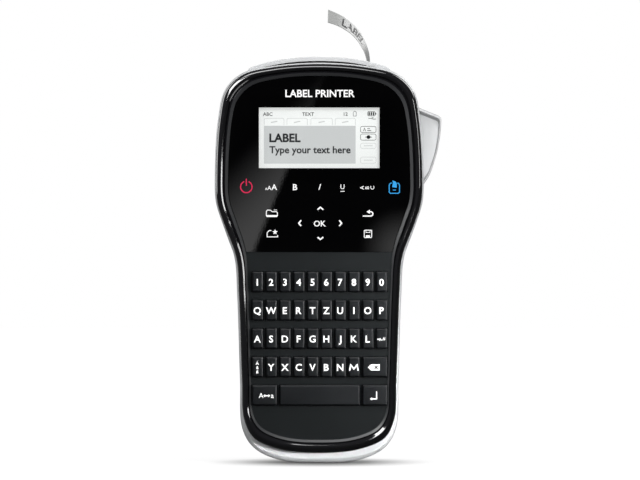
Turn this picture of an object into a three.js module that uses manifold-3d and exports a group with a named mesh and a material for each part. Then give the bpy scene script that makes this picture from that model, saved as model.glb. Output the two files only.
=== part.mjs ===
// Handheld electronic label maker, in millimetres.
//
// The working frame of the constants below: X to the right (the cutter lever's side), Y from the
// front face towards the back, Z up from the lowest point of the grip to the head. The front of the
// display panel is Y = 0. The last lines shift the whole assembly so that its origin is the centre
// of the rest pad on the back of the grip.

import * as THREE from 'three';
import { mergeVertices } from 'three/addons/utils/BufferGeometryUtils.js';
import Module from 'manifold-3d';

const wasm = await Module();
wasm.setup();

// ---------------------------------------------------------------- driving dimensions

// Right half of each outline seen from the front, from the bottom end up: [half width, height].
// RIM, SHELL, WELL and BACK correspond point by point, so that outlines between them can be blended.
const RIM = [
  [0, 4.9], [20, 6.7], [33, 12.4], [38, 22], [39.1, 42], [40.6, 85], [42, 104], [48, 120.5],
  [51.6, 132], [52.2, 147], [50.5, 174], [47, 188.6], [38.3, 196.5], [23, 200.2], [0, 201.8],
];
const SHELL = [
  [0, 0], [20, 1.2], [33, 7.2], [39, 17], [40.2, 42], [41.6, 85], [43, 104], [48.9, 120.8],
  [52.4, 132.2], [52.9, 147], [51.3, 174], [47.7, 189], [39.2, 197.2], [23, 201], [0, 202.6],
];
const WELL = [
  [0, 11.6], [17, 12.9], [29, 17.8], [33.6, 25], [34.6, 42], [35.9, 85], [37.4, 104], [43.4, 121.6],
  [47, 132.8], [47.5, 147], [45.8, 172.5], [42.8, 184.6], [35.4, 192], [21, 195.8], [0, 197.2],
];
const BACK = [
  [0, 13], [14, 14.2], [24, 18], [28, 26], [29, 45], [30, 85], [32, 104], [38, 121],
  [41, 133], [41.5, 147], [40.5, 172], [37.5, 184], [31, 190.5], [17, 194.5], [0, 195.5],
];
// The deep head of the rear shell: its widest outline, and its flat back.
const HEAD_WIDE = [
  [0, 86], [24, 87.5], [38, 94], [43.4, 106], [48.9, 120.8], [52.4, 132.2], [52.9, 147],
  [51.3, 174], [47.7, 189], [42.5, 194.8], [37.4, 197.6], [34.8, 200.2], [19.5, 204.3], [0, 205.7],
];
const HEAD_BACK = [
  [0, 104], [18, 104.8], [29, 108], [34.5, 114], [38.5, 122.5], [41.5, 133], [42.3, 147],
  [41, 172], [38, 184.5], [34.5, 189], [30.5, 192], [27, 194], [15, 195.8], [0, 196.3],
];
const SPAN_STEPS = 3; // facets between two neighbouring outline points

const WALL = 2.2;
const GAP = 0.3;

// Depths, from the front of the display panel towards the back.
const FACE = 0.4; // matte face around the keys
const FACE_BACK = 2.4;
const SEAM = 10; // joint between the front and the rear shell
const GRIP_BACK = 37;
const HEAD_FRONT = 18;
const HEAD_BACK_Y = 57.5;
const FLOOR = [31, 33]; // floor of the cassette compartment
const FLOOR_TOP = 193; // its upper end, clear of the door's top wall

// Blend between RIM (0) and WELL (1) of the bevel's outer and inner edges, on the grip and on the head.
const BEVEL_OUTER = { grip: 0.83, head: 1 };
const BEVEL_INNER = { grip: 1.02, head: 1.32 };
const WAIST = [96, 116]; // heights between which the grip's values turn into the head's

// Keyboard.
const KEY = { width: 5.7, height: 10.2, pitch: 6.97, top: -0.9, taper: 0.35, play: 0.25 };
const KEY_FLANGE = { front: 2.7, back: 3.5, lip: 0.42 };
const ROW_TOP = 91.6;
const ROW_PITCH = 14.32;
// Each row's keys with their widths in columns.
const KEY_ROWS = [
  '1 2 3 4 5 6 7 8 9 0'.split(' ').map((name) => [name, 1]),
  'q w e r t z u i o p'.split(' ').map((name) => [name, 1]),
  'a s d f g h j k l punctuation'.split(' ').map((name) => [name, 1]),
  [...'accents y x c v b n m'.split(' ').map((name) => [name, 1]), ['backspace', 2]],
  [['shift', 2], ['space', 6], ['enter', 2]],
];
const COLUMNS = 10;
const KEYBOARD_X = 0.2; // the keyboard's centre

// Display.
const PANEL = { front: 0.1, back: 1.1, bottom: 106.4, corner: 5 };
const WINDOW = { x: 30.45, bottom: 149, top: 179.6 };

// Tape path and print mechanism. The tape runs straight up in the plane X = TAPE.x.
const TAPE = { x: 25.2, width: 12, front: 34.5, thickness: 0.3, bottom: 128 };
const PLATEN = { x: 29.7, z: 160, radius: 4, shaft: 1.5 };
const GEAR = { module: 0.8, teeth: 24, pinionTeeth: 12, front: 28, back: 30.4, backlash: 0.16 };
const MOTOR = { radius: 9, front: 12.5, back: 27.4, shaft: 1 };
const CASSETTE = { left: -40, right: 18, bottom: 121, top: 179, front: 34, back: 50 };
const ROLL = { x: -13, z: 150, radius: 22, hub: 5, front: 36.4, back: 47.6 };

// Cutter.
const LEVER = { pivotX: 47.5, pivotZ: 140, eye: 3.2, pin: 1.6, front: 22.3, back: 39.7 };
const BLADE = { tip: 33.3, tail: 44.9, bottom: 175, top: 176.4, front: 34.2, back: 47 };

// Doors in the back: both turn about their lower edge, in the middle of the wall.
const CASSETTE_DOOR = { half: 36.5, front: 24, bottom: 114.2, hinge: [56.4, 115] };
const BATTERY_DOOR = { half: 25.5, bottom: 31, top: 84, hinge: [35.9, 31.8], corner: 4 };
const DOOR_GAP = 0.8; // below each door's lower edge, where it turns

const PAD = { z: 21.5, width: 36, height: 9, rise: 0.6 };

// ---------------------------------------------------------------- solids

function solid(geometry) {
  geometry.deleteAttribute('normal');
  geometry.deleteAttribute('uv');
  const merged = mergeVertices(geometry, 1e-4);
  return new wasm.Manifold(new wasm.Mesh({
    numProp: 3,
    vertProperties: new Float32Array(merged.attributes.position.array),
    triVerts: new Uint32Array(merged.index.array),
  }));
}

function geometryOf(manifold) {
  const { numProp, numVert, vertProperties, triVerts } = manifold.getMesh();
  const position = new Float32Array(numVert * 3);
  for (let i = 0; i < numVert; i++) {
    position.set(vertProperties.subarray(i * numProp, i * numProp + 3), i * 3);
  }
  const geometry = new THREE.BufferGeometry();
  geometry.setAttribute('position', new THREE.BufferAttribute(position, 3));
  geometry.setIndex(new THREE.BufferAttribute(triVerts, 1));
  geometry.computeVertexNormals();
  return geometry;
}

const union = (...solids) => solids.reduce((sum, next) => sum.add(next));
const cut = (from, ...tools) => tools.reduce((rest, tool) => rest.subtract(tool), from);

function box([x0, x1], [y0, y1], [z0, z1]) {
  const geometry = new THREE.BoxGeometry(x1 - x0, y1 - y0, z1 - z0);
  return solid(geometry.translate((x0 + x1) / 2, (y0 + y1) / 2, (z0 + z1) / 2));
}

// A round bar along Y.
function rod(radius, [y0, y1], x, z, segments = 24) {
  const geometry = new THREE.CylinderGeometry(radius, radius, y1 - y0, segments);
  return solid(geometry.translate(x, (y0 + y1) / 2, z));
}

// A round bar along X.
function crossRod(radius, [x0, x1], y, z, segments = 12) {
  const geometry = new THREE.CylinderGeometry(radius, radius, x1 - x0, segments);
  return solid(geometry.rotateZ(Math.PI / 2).translate((x0 + x1) / 2, y, z));
}

// A shape drawn in X and Z, as deep as [y0, y1].
function prism(shape, [y0, y1], curveSegments = 4) {
  const settings = { depth: y1 - y0, bevelEnabled: false, curveSegments };
  const geometry = new THREE.ExtrudeGeometry(shape, settings);
  return solid(geometry.rotateX(Math.PI / 2).translate(0, y1, 0));
}

function polygon(points) {
  return new THREE.Shape(points.map(([x, z]) => new THREE.Vector2(x, z)));
}

function roundedRectangle([x0, x1], [z0, z1], radius) {
  const shape = new THREE.Shape();
  shape.absarc(x1 - radius, z0 + radius, radius, -Math.PI / 2, 0);
  shape.absarc(x1 - radius, z1 - radius, radius, 0, Math.PI / 2);
  shape.absarc(x0 + radius, z1 - radius, radius, Math.PI / 2, Math.PI);
  shape.absarc(x0 + radius, z0 + radius, radius, Math.PI, 1.5 * Math.PI);
  return shape;
}

// ---------------------------------------------------------------- outlines

// The smooth closed curve through a right half and its mirror image, as points in X and Z.
function smoothOutline(half) {
  const right = half.map(([x, z]) => new THREE.Vector3(x, 0, z));
  const left = half.slice(1, -1).reverse().map(([x, z]) => new THREE.Vector3(-x, 0, z));
  const curve = new THREE.CatmullRomCurve3([...right, ...left], true, 'centripetal');
  return curve.getPoints((right.length + left.length) * SPAN_STEPS).slice(0, -1);
}

const rim = smoothOutline(RIM);
const shell = smoothOutline(SHELL);
const well = smoothOutline(WELL);
const back = smoothOutline(BACK);
const headWide = smoothOutline(HEAD_WIDE);
const headBack = smoothOutline(HEAD_BACK);

const waistBlend = (z) => THREE.MathUtils.smoothstep(z, ...WAIST);

function blend(from, to, share) {
  return from.map((point, i) => point.clone().lerp(to[i], share));
}

// The outline between rim and well whose share changes from the grip to the head.
function bevelOutline({ grip, head }) {
  return rim.map((point, i) => {
    const share = THREE.MathUtils.lerp(grip, head, waistBlend(point.z));
    return point.clone().lerp(well[i], share);
  });
}

function inset(outline, distance) {
  const count = outline.length;
  return outline.map((point, i) => {
    const along = outline[(i + 1) % count].clone().sub(outline[(i + count - 1) % count]).normalize();
    return new THREE.Vector3(point.x - along.z * distance, 0, point.z + along.x * distance);
  });
}

const at = (outline, y) => outline.map((point) => new THREE.Vector3(point.x, y, point.z));

// The solid whose surface runs through the rings, from the front one to the back one.
function loft(...rings) {
  const count = rings[0].length;
  const index = [];
  for (let ring = 0; ring < rings.length - 1; ring++) {
    for (let i = 0; i < count; i++) {
      const a = ring * count + i;
      const b = ring * count + (i + 1) % count;
      index.push(a, a + count, b, a + count, b + count, b);
    }
  }
  const last = (rings.length - 1) * count;
  const capOf = (ring) => THREE.ShapeUtils.triangulateShape(
    ring.map((point) => new THREE.Vector2(point.x, point.z)), []);
  capOf(rings[0]).forEach(([a, b, c]) => index.push(a, b, c));
  capOf(rings.at(-1)).forEach(([a, b, c]) => index.push(last + a, last + c, last + b));
  const geometry = new THREE.BufferGeometry().setFromPoints(rings.flat());
  geometry.setIndex(index);
  return solid(geometry);
}

// ---------------------------------------------------------------- keyboard places

// Each key as { name, x, z, width }, x and z being the key's centre.
function keyPlaces() {
  return KEY_ROWS.flatMap((row, rowIndex) => {
    let column = 0;
    return row.map(([name, columns]) => {
      const middle = column + (columns - 1) / 2;
      column += columns;
      return {
        name: `key_${name}`,
        x: KEYBOARD_X + (middle - (COLUMNS - 1) / 2) * KEY.pitch,
        z: ROW_TOP - rowIndex * ROW_PITCH,
        width: (columns - 1) * KEY.pitch + KEY.width,
      };
    });
  });
}

// ---------------------------------------------------------------- shells

// Rounded rim, groove, bevel and flat face in one shell, open at the back.
function frontCase() {
  const pillow = loft(
    at(bevelOutline(BEVEL_INNER), FACE),
    at(bevelOutline(BEVEL_OUTER), -0.4),
    at(blend(rim, well, 0.8), 0.5),
    at(blend(rim, well, 0.7), -0.7),
    at(blend(rim, well, 0.45), -1.4),
    at(blend(rim, well, 0.2), -0.6),
    at(blend(rim, well, 0.05), 1.6),
    at(rim, 5),
    at(rim, SEAM),
  );
  const hollow = loft(at(inset(rim, WALL), FACE_BACK), at(inset(rim, WALL), SEAM + 1));
  const recess = panelOutlineSolid(-2, PANEL.back + GAP, 0);
  const windowHole = box([-WINDOW.x - 1, WINDOW.x + 1], [-1, 4], [WINDOW.bottom - 1, WINDOW.top + 1]);
  const keyHoles = keyPlaces().map(({ x, z, width }) => {
    const halfWidth = width / 2 + KEY.play;
    const halfHeight = KEY.height / 2 + KEY.play;
    return box([x - halfWidth, x + halfWidth], [-1, 4], [z - halfHeight, z + halfHeight]);
  });
  return cut(pillow, hollow, recess, windowHole, ...keyHoles);
}

// The display panel's shape: the flat front above its straight bottom edge.
function panelOutlineSolid(front, rear, margin) {
  const face = inset(bevelOutline(BEVEL_INNER), margin);
  const bottom = PANEL.bottom + margin;
  const above = prism(roundedRectangle([-60, 60], [bottom, bottom + 200], PANEL.corner), [-5, 5]);
  return loft(at(face, front), at(face, rear)).intersect(above);
}

function displayPanel() {
  return panelOutlineSolid(PANEL.front, PANEL.back, GAP);
}

// The outside of the rear shell: the grip's depth everywhere, and the deep head behind it.
function rearOutside() {
  const grip = loft(
    at(rim, SEAM + GAP),
    at(blend(rim, shell, 0.6), SEAM + 1.2),
    at(blend(rim, shell, 0.9), SEAM + 3.5),
    at(shell, SEAM + 7),
    at(blend(shell, back, 0.03), 22),
    at(blend(shell, back, 0.13), 27),
    at(blend(shell, back, 0.36), 31.5),
    at(blend(shell, back, 0.68), 35),
    at(back, GRIP_BACK),
  );
  const head = loft(
    at(headWide, HEAD_FRONT),
    at(headWide, 34),
    at(blend(headWide, headBack, 0.07), 42),
    at(blend(headWide, headBack, 0.25), 49),
    at(blend(headWide, headBack, 0.55), 54),
    at(headBack, HEAD_BACK_Y),
  );
  return union(grip, head);
}

function rearInside() {
  const grip = loft(
    at(inset(rim, WALL), SEAM - 1),
    at(inset(blend(rim, shell, 0.6), WALL), SEAM + 3),
    at(inset(shell, WALL), SEAM + 8),
    at(inset(blend(shell, back, 0.13), WALL), 26),
    at(inset(blend(shell, back, 0.55), WALL), 32.5),
    at(inset(blend(shell, back, 0.8), WALL), GRIP_BACK - WALL),
  );
  const head = loft(
    at(inset(headWide, WALL), HEAD_FRONT - 1),
    at(inset(headWide, WALL), 34),
    at(inset(blend(headWide, headBack, 0.25), WALL), 48),
    at(inset(blend(headWide, headBack, 0.75), WALL), HEAD_BACK_Y - WALL),
  );
  return union(grip, head);
}

const outside = rearOutside();
const skin = outside.subtract(rearInside());

// The part of the skin that a door takes, or with a margin the opening left for it.
function cassetteDoorRegion(margin) {
  const { half, front, bottom } = CASSETTE_DOOR;
  const low = margin ? bottom - DOOR_GAP : bottom;
  return box([-half - margin, half + margin], [front - margin, 70], [low, 215]);
}

function batteryDoorRegion(margin) {
  const { half, bottom, top, corner } = BATTERY_DOOR;
  const low = margin ? bottom - DOOR_GAP : bottom;
  const sides = [-half - margin, half + margin];
  const rounded = prism(roundedRectangle(sides, [low, top + margin], corner), [30, 45]);
  return union(rounded, box(sides, [30, 45], [low, bottom + corner]));
}

// Two pegs on a door's hinge line, or with play the sockets that hold them.
function hingePegs({ half, hinge: [y, z] }, play) {
  const peg = (side) => {
    const ends = [side * (half - 1.5), side * (half + 1.5 + play)].sort((a, b) => a - b);
    return crossRod(0.6 + play, ends, y, z, 8);
  };
  return union(peg(-1), peg(1));
}

function rearCase() {
  const leverWindow = box([40, 70], [LEVER.front - GAP, LEVER.back + GAP], [135.6, 184]);
  const leverRoom = box([37.4, 50], [LEVER.front - GAP, LEVER.back + GAP], [135.6, 184]);
  const shaftHole = rod(PLATEN.shaft + 0.4, [29, 35], PLATEN.x, PLATEN.z, 16);
  const { pivotX, pivotZ } = LEVER;
  const bracket = outside.intersect(box([43, 60], [LEVER.back + GAP, 44], [pivotZ - 5, pivotZ + 5]));
  const pin = rod(LEVER.pin, [LEVER.front, 42], pivotX, pivotZ, 16);
  const padShape = roundedRectangle(
    [-PAD.width / 2, PAD.width / 2], [PAD.z - PAD.height / 2, PAD.z + PAD.height / 2], 3);
  const pad = prism(padShape, [GRIP_BACK - 1, GRIP_BACK + PAD.rise]);
  const opened = cut(
    skin, leverWindow, leverRoom, cassetteDoorRegion(GAP), batteryDoorRegion(GAP),
    hingePegs(CASSETTE_DOOR, 0.25), hingePegs(BATTERY_DOOR, 0.25),
  );
  const floor = cut(
    outside.intersect(box([-70, 70], FLOOR, [100, FLOOR_TOP])), leverWindow, leverRoom, shaftHole);
  return union(opened, floor, bracket, pin, pad);
}

function cassetteDoor() {
  const tapeSlot = box([TAPE.x - 1, TAPE.x + 1], [10, TAPE.front + TAPE.width + 1.5], [190, 215]);
  const panel = skin.intersect(cassetteDoorRegion(0));
  return union(cut(panel, tapeSlot), hingePegs(CASSETTE_DOOR, 0));
}

function batteryDoor() {
  const panel = skin.intersect(batteryDoorRegion(0));
  const ridges = [0, 1, 2].map((i) => {
    const z = BATTERY_DOOR.top - 6 - i * 3;
    return box([-9, 9], [GRIP_BACK - 0.5, GRIP_BACK + 0.5], [z, z + 1.2]);
  });
  return union(panel, ...ridges, hingePegs(BATTERY_DOOR, 0));
}

// ---------------------------------------------------------------- keys and electronics

// A cap that narrows towards its top, on a flange that stays behind the front shell.
function keyCap({ x, z, width }) {
  const cap = new THREE.BoxGeometry(width, KEY_FLANGE.front + 0.2 - KEY.top, KEY.height);
  cap.translate(0, (KEY_FLANGE.front + 0.2 + KEY.top) / 2, 0);
  const position = cap.getAttribute('position');
  for (let i = 0; i < position.count; i++) {
    if (position.getY(i) < 0) {
      position.setX(i, position.getX(i) - Math.sign(position.getX(i)) * KEY.taper);
      position.setZ(i, position.getZ(i) - Math.sign(position.getZ(i)) * KEY.taper);
    }
  }
  const { front, back: rear, lip } = KEY_FLANGE;
  const halfWidth = width / 2 + lip;
  const halfHeight = KEY.height / 2 + lip;
  const flange = box([-halfWidth, halfWidth], [front, rear], [-halfHeight, halfHeight]);
  return union(solid(cap), flange).translate([x, 0, z]);
}

function keypadMat() {
  return prism(roundedRectangle([-34.6, 34.6], [26.5, 99.5], 5), [5.2, 6.3], 3);
}

function lcdModule() {
  const glass = box([-WINDOW.x - 3, WINDOW.x + 3], [2.8, 5], [WINDOW.bottom - 4, WINDOW.top + 4]);
  const frame = box([-WINDOW.x - 5, WINDOW.x + 5], [4.4, 6.4], [WINDOW.bottom - 6, WINDOW.top + 5]);
  return union(glass, frame);
}

function mainBoard() {
  const outline = inset(rim, 4.5).filter((_, i) => i % SPAN_STEPS === 0);
  const board = loft(at(outline, 6.8), at(outline, 8.4));
  const processor = box([-26, -12], [8, 9.9], [112, 126]);
  const memory = box([-8, 2], [8, 9.6], [114, 122]);
  const connector = box([10, 24], [8, 11.4], [104, 110]);
  return union(board, processor, memory, connector);
}

function batteryPack() {
  const body = prism(roundedRectangle([-23, 23], [33.5, 82], 4), [15, 33.6]);
  const plug = box([-6, 6], [19, 27], [81, 85.5]);
  return union(body, plug);
}

// ---------------------------------------------------------------- print mechanism

// Outline of a spur gear with short involute teeth, one tooth centred on the angle `turn`.
function gearOutline(teeth, turn) {
  const { module, backlash } = GEAR;
  const pitch = module * teeth / 2;
  const base = pitch * Math.cos(THREE.MathUtils.degToRad(20));
  const tip = pitch + 0.8 * module;
  const root = pitch - 1.1 * module;
  const involute = (radius) => Math.tan(Math.acos(base / radius)) - Math.acos(base / radius);
  const halfAtPitch = Math.PI / (2 * teeth) - backlash / (4 * pitch);
  const halfAngle = (radius) => halfAtPitch + involute(pitch) - involute(Math.max(radius, base));
  const flank = [root, Math.max(base, root + 0.05), pitch, tip];
  const points = [];
  for (let tooth = 0; tooth < teeth; tooth++) {
    const centre = turn + tooth * 2 * Math.PI / teeth;
    const add = (radius, angle) => points.push([radius * Math.cos(angle), radius * Math.sin(angle)]);
    flank.forEach((radius) => add(radius, centre - halfAngle(radius)));
    [...flank].reverse().forEach((radius) => add(radius, centre + halfAngle(radius)));
  }
  return polygon(points);
}

function gearSolid(teeth, turn, x, z) {
  return prism(gearOutline(teeth, turn), [GEAR.front, GEAR.back]).translate([x, 0, z]);
}

const motorX = PLATEN.x - GEAR.module * (GEAR.teeth + GEAR.pinionTeeth) / 2;

// Rubber roller, its shaft and its gear, which turn together.
function platenRoller() {
  const { x, z, radius, shaft } = PLATEN;
  const rubber = rod(radius, [TAPE.front - 0.3, TAPE.front + TAPE.width + 0.3], x, z);
  const axle = rod(shaft, [GEAR.front - 1, TAPE.front + TAPE.width + 3], x, z, 16);
  return union(rubber, axle, gearSolid(GEAR.teeth, Math.PI, x, z));
}

// The gap between two of the pinion's teeth faces the gear's tooth.
function motorPinion() {
  const gear = gearSolid(GEAR.pinionTeeth, Math.PI / GEAR.pinionTeeth, motorX, PLATEN.z);
  return cut(gear, rod(MOTOR.shaft + 0.3, [20, 35], motorX, PLATEN.z, 12));
}

function driveMotor() {
  const { radius, front, back: rear, shaft } = MOTOR;
  const flats = box([motorX - 10, motorX + 10], [front, rear], [PLATEN.z - 7.5, PLATEN.z + 7.5]);
  const can = rod(radius, [front, rear], motorX, PLATEN.z).intersect(flats);
  const boss = rod(3, [front - 1, rear - 1], motorX, PLATEN.z, 16);
  return union(can, boss, rod(shaft, [front, GEAR.back + 0.2], motorX, PLATEN.z, 12));
}

function printHead() {
  const right = TAPE.x - TAPE.thickness / 2 - GAP;
  const carrier = box([19.4, right - 1.2], [FLOOR[1] + GAP, 47.5], [151, 171]);
  const heater = prism(polygon([[right - 1.5, 154], [right, 158.5], [right, 161.5], [right - 1.5, 166]]),
    [TAPE.front - 0.5, TAPE.front + TAPE.width + 0.5]);
  return union(carrier, heater);
}

function cassetteCase() {
  const { left, right, bottom, top, front, back: rear } = CASSETTE;
  const outer = prism(roundedRectangle([left, right], [bottom, top], 5), [front, rear], 3);
  const arm = prism(roundedRectangle([right - 6, 24.2], [bottom, 147], 2.5), [front, rear], 3);
  const hollow = prism(roundedRectangle([left + 1.6, right - 1.6], [bottom + 1.6, top - 1.6], 4),
    [front + 1.6, rear - 1.6], 3);
  const tapeWindow = box([-36, 6], [rear - 3, rear + 2], [128, 142]);
  const hub = rod(ROLL.hub - 0.8, [front + 0.5, rear - 0.5], ROLL.x, ROLL.z, 16);
  return union(cut(union(outer, arm), hollow, tapeWindow), hub);
}

function tapeRoll() {
  const { x, z, radius, hub, front, back: rear } = ROLL;
  return cut(rod(radius, [front, rear], x, z, 36), rod(hub, [front - 1, rear + 1], x, z, 16));
}

// The printed strip: straight from the cassette to the slot, then bent over to the left and a
// little to the front, and turned about its own length, so that its free end tilts.
function labelTape() {
  const middle = TAPE.front + TAPE.width / 2;
  const path = new THREE.CatmullRomCurve3([
    [25.2, 0, 199], [25.15, 0, 203], [24.3, -0.1, 208], [22.7, -0.3, 212], [20.6, -0.6, 215.8],
    [17.8, -1.1, 219.2], [14.1, -1.8, 222.2], [10.1, -2.7, 224.6], [4.5, -4, 226.8],
  ].map(([x, lean, z]) => new THREE.Vector3(x, middle + lean, z)), false, 'centripetal');
  const tilt = [3, 32].map(THREE.MathUtils.degToRad); // at the slot and at the free end
  const start = new THREE.Vector3(TAPE.x, middle, TAPE.bottom);
  const stations = [{ point: start, along: new THREE.Vector3(0, 0, 1), angle: tilt[0] }];
  const steps = 24;
  for (let i = 0; i <= steps; i++) {
    const share = i / steps;
    stations.push({
      point: path.getPoint(share),
      along: path.getTangent(share),
      angle: THREE.MathUtils.lerp(...tilt, share),
    });
  }
  const corners = [[-1, -1], [-1, 1], [1, 1], [1, -1]];
  const points = stations.flatMap(({ point, along, angle }) => {
    const flat = new THREE.Vector3(0, 1, 0).addScaledVector(along, -along.y).normalize();
    const outward = new THREE.Vector3().crossVectors(flat, along);
    const across = flat.multiplyScalar(Math.cos(angle)).addScaledVector(outward, Math.sin(angle));
    const normal = new THREE.Vector3().crossVectors(across, along);
    return corners.map(([side, face]) => point.clone()
      .addScaledVector(across, side * TAPE.width / 2)
      .addScaledVector(normal, face * TAPE.thickness / 2));
  });
  const index = [0, 2, 1, 0, 3, 2];
  for (let i = 0; i < stations.length - 1; i++) {
    for (let corner = 0; corner < 4; corner++) {
      const a = i * 4 + corner;
      const b = i * 4 + (corner + 1) % 4;
      index.push(a, b, a + 4, b, b + 4, a + 4);
    }
  }
  const end = (stations.length - 1) * 4;
  index.push(end, end + 1, end + 2, end, end + 2, end + 3);
  const geometry = new THREE.BufferGeometry().setFromPoints(points);
  geometry.setIndex(index);
  return solid(geometry);
}

// ---------------------------------------------------------------- cutter

// A curved side lever on a pivot near its lower end; its inner face meets the blade's tail.
function cutterLever() {
  const { pivotX, pivotZ, eye, pin, front, back: rear } = LEVER;
  const outer = new THREE.SplineCurve(
    [[62.05, 173.8], [61.65, 167.8], [60.2, 158.8], [58.4, 152.4], [55.9, 145.5], [52.6, 140.3]]
      .map(([x, z]) => new THREE.Vector2(x, z))).getPoints(9).map(({ x, y }) => [x, y]);
  const grip = polygon([
    [pivotX - 2, pivotZ - 1], [45, 145], [46, 155], [46.2, 165], [45.4, 173], [45.4, 178],
    [48.6, 180.6], [50.4, 180.1], [60.7, 175.9], [61.7, 175.2], ...outer, [pivotX + 2, pivotZ - 2],
  ].reverse());
  const boss = rod(eye, [front, rear], pivotX, pivotZ, 20);
  const hole = rod(pin + 0.4, [front - 1, rear + 1], pivotX, pivotZ, 16);
  return cut(union(prism(grip, [front, rear]), boss), hole);
}

function cutterBlade() {
  const { tip, tail, bottom, top, front, back: rear } = BLADE;
  const carrier = box([tip + 4, tail], [front, LEVER.back - 0.5], [bottom - 1.2, top + 1.2]);
  const edge = new THREE.Shape([
    new THREE.Vector2(tip, bottom + 0.2), new THREE.Vector2(tip + 2.4, bottom),
    new THREE.Vector2(tail - 3, bottom), new THREE.Vector2(tail - 3, top),
    new THREE.Vector2(tip + 2.4, top),
  ]);
  return union(prism(edge, [front, rear]), carrier);
}

// ---------------------------------------------------------------- assembly

const finish = (color, roughness, metalness = 0) =>
  new THREE.MeshStandardMaterial({ color, roughness, metalness });

const MATERIALS = {
  silver: finish('#b4b6b9', 0.38, 0.55),
  lightGrey: finish('#c9cacc', 0.45, 0.2),
  glossBlack: finish('#0c0c0e', 0.12),
  charcoal: finish('#29292b', 0.62),
  keyCharcoal: finish('#2d2d30', 0.55),
  display: finish('#dcdedc', 0.35),
  silicone: finish('#5a5c60', 0.8),
  board: finish('#1d5a34', 0.5),
  battery: finish('#23252a', 0.5),
  steel: finish('#a8abae', 0.3, 0.9),
  ceramic: finish('#d9d4c8', 0.4),
  rubber: finish('#1b1b1b', 0.85),
  cassette: finish('#3a3c40', 0.5),
  tape: finish('#e9eae8', 0.35),
  brass: finish('#b08d45', 0.35, 0.9),
};

const assembly = new THREE.Group();

function place(name, manifold, material) {
  const mesh = new THREE.Mesh(geometryOf(manifold), MATERIALS[material]);
  mesh.name = name;
  assembly.add(mesh);
}

place('rear_case', rearCase(), 'silver');
place('front_case', frontCase(), 'glossBlack');
place('display_panel', displayPanel(), 'glossBlack');
place('lcd_module', lcdModule(), 'display');
place('keypad_mat', keypadMat(), 'silicone');
place('main_board', mainBoard(), 'board');
place('battery_pack', batteryPack(), 'battery');
place('battery_door', batteryDoor(), 'silver');
place('cassette_door', cassetteDoor(), 'lightGrey');
place('cassette_case', cassetteCase(), 'cassette');
place('tape_roll', tapeRoll(), 'tape');
place('label_tape', labelTape(), 'tape');
place('cutter_lever', cutterLever(), 'silver');
place('cutter_blade', cutterBlade(), 'steel');
place('print_head', printHead(), 'ceramic');
place('platen_roller', platenRoller(), 'rubber');
place('drive_motor', driveMotor(), 'steel');
place('motor_pinion', motorPinion(), 'brass');
keyPlaces().forEach((key) => place(key.name, keyCap(key), 'keyCharcoal'));

assembly.position.set(0, -(GRIP_BACK + PAD.rise), -PAD.z);

export default assembly;
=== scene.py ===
import math

import bmesh
import bpy
import numpy as np
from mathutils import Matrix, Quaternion, Vector


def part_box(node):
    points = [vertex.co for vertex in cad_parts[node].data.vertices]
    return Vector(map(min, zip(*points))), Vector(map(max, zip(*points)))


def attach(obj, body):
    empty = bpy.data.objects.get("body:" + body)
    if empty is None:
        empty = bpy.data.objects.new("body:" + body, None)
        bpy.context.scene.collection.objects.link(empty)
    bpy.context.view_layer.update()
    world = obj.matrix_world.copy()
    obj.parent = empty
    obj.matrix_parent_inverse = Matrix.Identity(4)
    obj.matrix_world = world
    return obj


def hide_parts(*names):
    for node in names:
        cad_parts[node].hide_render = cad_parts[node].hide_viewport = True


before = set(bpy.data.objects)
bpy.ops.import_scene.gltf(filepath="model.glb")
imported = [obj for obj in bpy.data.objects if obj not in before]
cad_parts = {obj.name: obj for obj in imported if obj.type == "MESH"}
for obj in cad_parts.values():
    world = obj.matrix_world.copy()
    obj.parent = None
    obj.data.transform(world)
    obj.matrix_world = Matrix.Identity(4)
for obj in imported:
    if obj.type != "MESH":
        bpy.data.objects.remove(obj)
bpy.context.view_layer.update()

# Everything below is drawn in millimetres: X right, Y from the display panel's front towards the
# back, Z up from the lowest point of the grip. settle() turns a finished piece into the row frame.
MM = 0.001
PANEL_FRONT = 0.1
ORIGIN_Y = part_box("display_panel")[0].y - PANEL_FRONT * MM
ORIGIN_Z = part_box("rear_case")[0].z

# ---------------------------------------------------------------- sizes

RIM = [
    (0, 4.9), (20, 6.7), (33, 12.4), (38, 22), (39.1, 42), (40.6, 85), (42, 104), (48, 120.5),
    (51.6, 132), (52.2, 147), (50.5, 174), (47, 188.6), (38.3, 196.5), (23, 200.2), (0, 201.8),
]
SHELL = [
    (0, 0), (20, 1.2), (33, 7.2), (39, 17), (40.2, 42), (41.6, 85), (43, 104), (48.9, 120.8),
    (52.4, 132.2), (52.9, 147), (51.3, 174), (47.7, 189), (39.2, 197.2), (23, 201), (0, 202.6),
]
WELL = [
    (0, 11.6), (17, 12.9), (29, 17.8), (33.6, 25), (34.6, 42), (35.9, 85), (37.4, 104),
    (43.4, 121.6), (47, 132.8), (47.5, 147), (45.8, 172.5), (42.8, 184.6), (35.4, 192),
    (21, 195.8), (0, 197.2),
]
BACK = [
    (0, 13), (14, 14.2), (24, 18), (28, 26), (29, 45), (30, 85), (32, 104), (38, 121),
    (41, 133), (41.5, 147), (40.5, 172), (37.5, 184), (31, 190.5), (17, 194.5), (0, 195.5),
]
HEAD_WIDE = [
    (0, 86), (24, 87.5), (38, 94), (43.4, 106), (48.9, 120.8), (52.4, 132.2), (52.9, 147),
    (51.3, 174), (47.7, 189), (42.5, 194.8), (37.4, 197.6), (34.8, 200.2), (19.5, 204.3), (0, 205.7),
]
HEAD_BACK = [
    (0, 104), (18, 104.8), (29, 108), (34.5, 114), (38.5, 122.5), (41.5, 133), (42.3, 147),
    (41, 172), (38, 184.5), (34.5, 189), (30.5, 192), (27, 194), (15, 195.8), (0, 196.3),
]
OUTLINE_STEPS = 9  # samples between two outline points
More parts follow.
